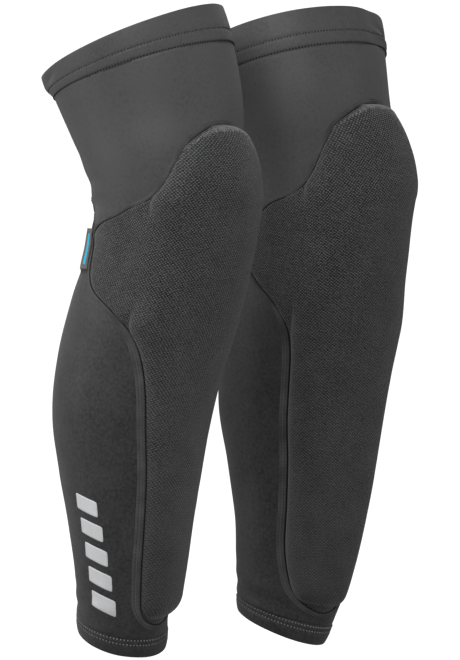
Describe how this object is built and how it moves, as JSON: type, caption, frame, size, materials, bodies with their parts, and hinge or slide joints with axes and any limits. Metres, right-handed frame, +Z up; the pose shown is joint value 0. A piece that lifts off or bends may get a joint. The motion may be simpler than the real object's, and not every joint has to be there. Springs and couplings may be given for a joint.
{
  "type": "shin guard",
  "caption": "Pair of pull-on knee and shin guards: stretch sleeves with foam pads under a tough knitted front, elastic hems and a breathable panel behind the knee.",
  "frame": {"origin": "midway between the two knee centres, at knee height", "axes": "+Z up along the legs, -Y to the front where the pads are, the right guard on the -X side and the left one on the +X side"},
  "size_m": [0.3352, 0.1833, 0.5182],
  "materials": {
    "jersey": "smooth stretch jersey with a soft sheen",
    "abrasion_knit": "coarse abrasion-proof knit, matte",
    "mesh": "open stretch mesh, matte",
    "lining": "brushed lining, matte",
    "seam_tape": "flat coverstitched seam",
    "thread": "polyester thread",
    "silicone": "printed silicone, satin",
    "foam": "dense open-cell impact foam",
    "reflective": "heat-transferred reflective film, light grey",
    "label": "woven loop label, plain"
  },
  "bodies": {
    "right_shin": {"right_calf_panel": "jersey", "right_knee_back_panel": "mesh", "right_ankle_hem": "jersey", "right_ankle_stitch_upper": "thread", "right_ankle_stitch_lower": "thread", "right_ankle_gripper": "silicone", "right_pocket_lining": "lining", "right_shin_pad": "foam", "right_knee_pad": "foam", "right_front_panel": "abrasion_knit", "right_outer_seam": "seam_tape", "right_inner_seam": "seam_tape", "right_side_label": "label", "right_reflective_bar_1": "reflective", "right_reflective_bar_2": "reflective", "right_reflective_bar_3": "reflective", "right_reflective_bar_4": "reflective", "right_reflective_bar_5": "reflective"},
    "right_thigh": {"right_thigh_panel": "jersey", "right_thigh_hem": "jersey", "right_thigh_stitch_lower": "thread", "right_thigh_stitch_upper": "thread", "right_thigh_gripper": "silicone", "right_top_seam": "seam_tape"},
    "left_shin": {"left_calf_panel": "jersey", "left_knee_back_panel": "mesh", "left_ankle_hem": "jersey", "left_ankle_stitch_upper": "thread", "left_ankle_stitch_lower": "thread", "left_ankle_gripper": "silicone", "left_pocket_lining": "lining", "left_shin_pad": "foam", "left_knee_pad": "foam", "left_front_panel": "abrasion_knit", "left_outer_seam": "seam_tape", "left_inner_seam": "seam_tape", "left_side_label": "label", "left_reflective_bar_1": "reflective", "left_reflective_bar_2": "reflective", "left_reflective_bar_3": "reflective", "left_reflective_bar_4": "reflective", "left_reflective_bar_5": "reflective"},
    "left_thigh": {"left_thigh_panel": "jersey", "left_thigh_hem": "jersey", "left_thigh_stitch_lower": "thread", "left_thigh_stitch_upper": "thread", "left_thigh_gripper": "silicone", "left_top_seam": "seam_tape"}
  },
  "joints": [
    {"name": "right_knee", "type": "hinge", "parent": "right_shin", "child": "right_thigh", "pos_m": [-0.09, 0, 0], "axis": [-1, 0, 0], "range_deg": [-20, 60], "stiffness_Nm_per_rad": 0.5, "deforming": ["right_front_panel", "right_pocket_lining", "right_knee_back_panel", "right_knee_pad", "right_outer_seam", "right_inner_seam", "right_top_seam", "right_side_label"]},
    {"name": "left_knee", "type": "hinge", "parent": "left_shin", "child": "left_thigh", "pos_m": [0.09, 0, 0], "axis": [-1, 0, 0], "range_deg": [-20, 60], "stiffness_Nm_per_rad": 0.5, "deforming": ["left_front_panel", "left_pocket_lining", "left_knee_back_panel", "left_knee_pad", "left_outer_seam", "left_inner_seam", "left_top_seam", "left_side_label"]},
    {"name": "left_guard_apart", "type": "slide", "parent": "right_shin", "child": "left_shin", "axis": [1, 0, 0], "range_m": [0, 0.2]}
  ]
}
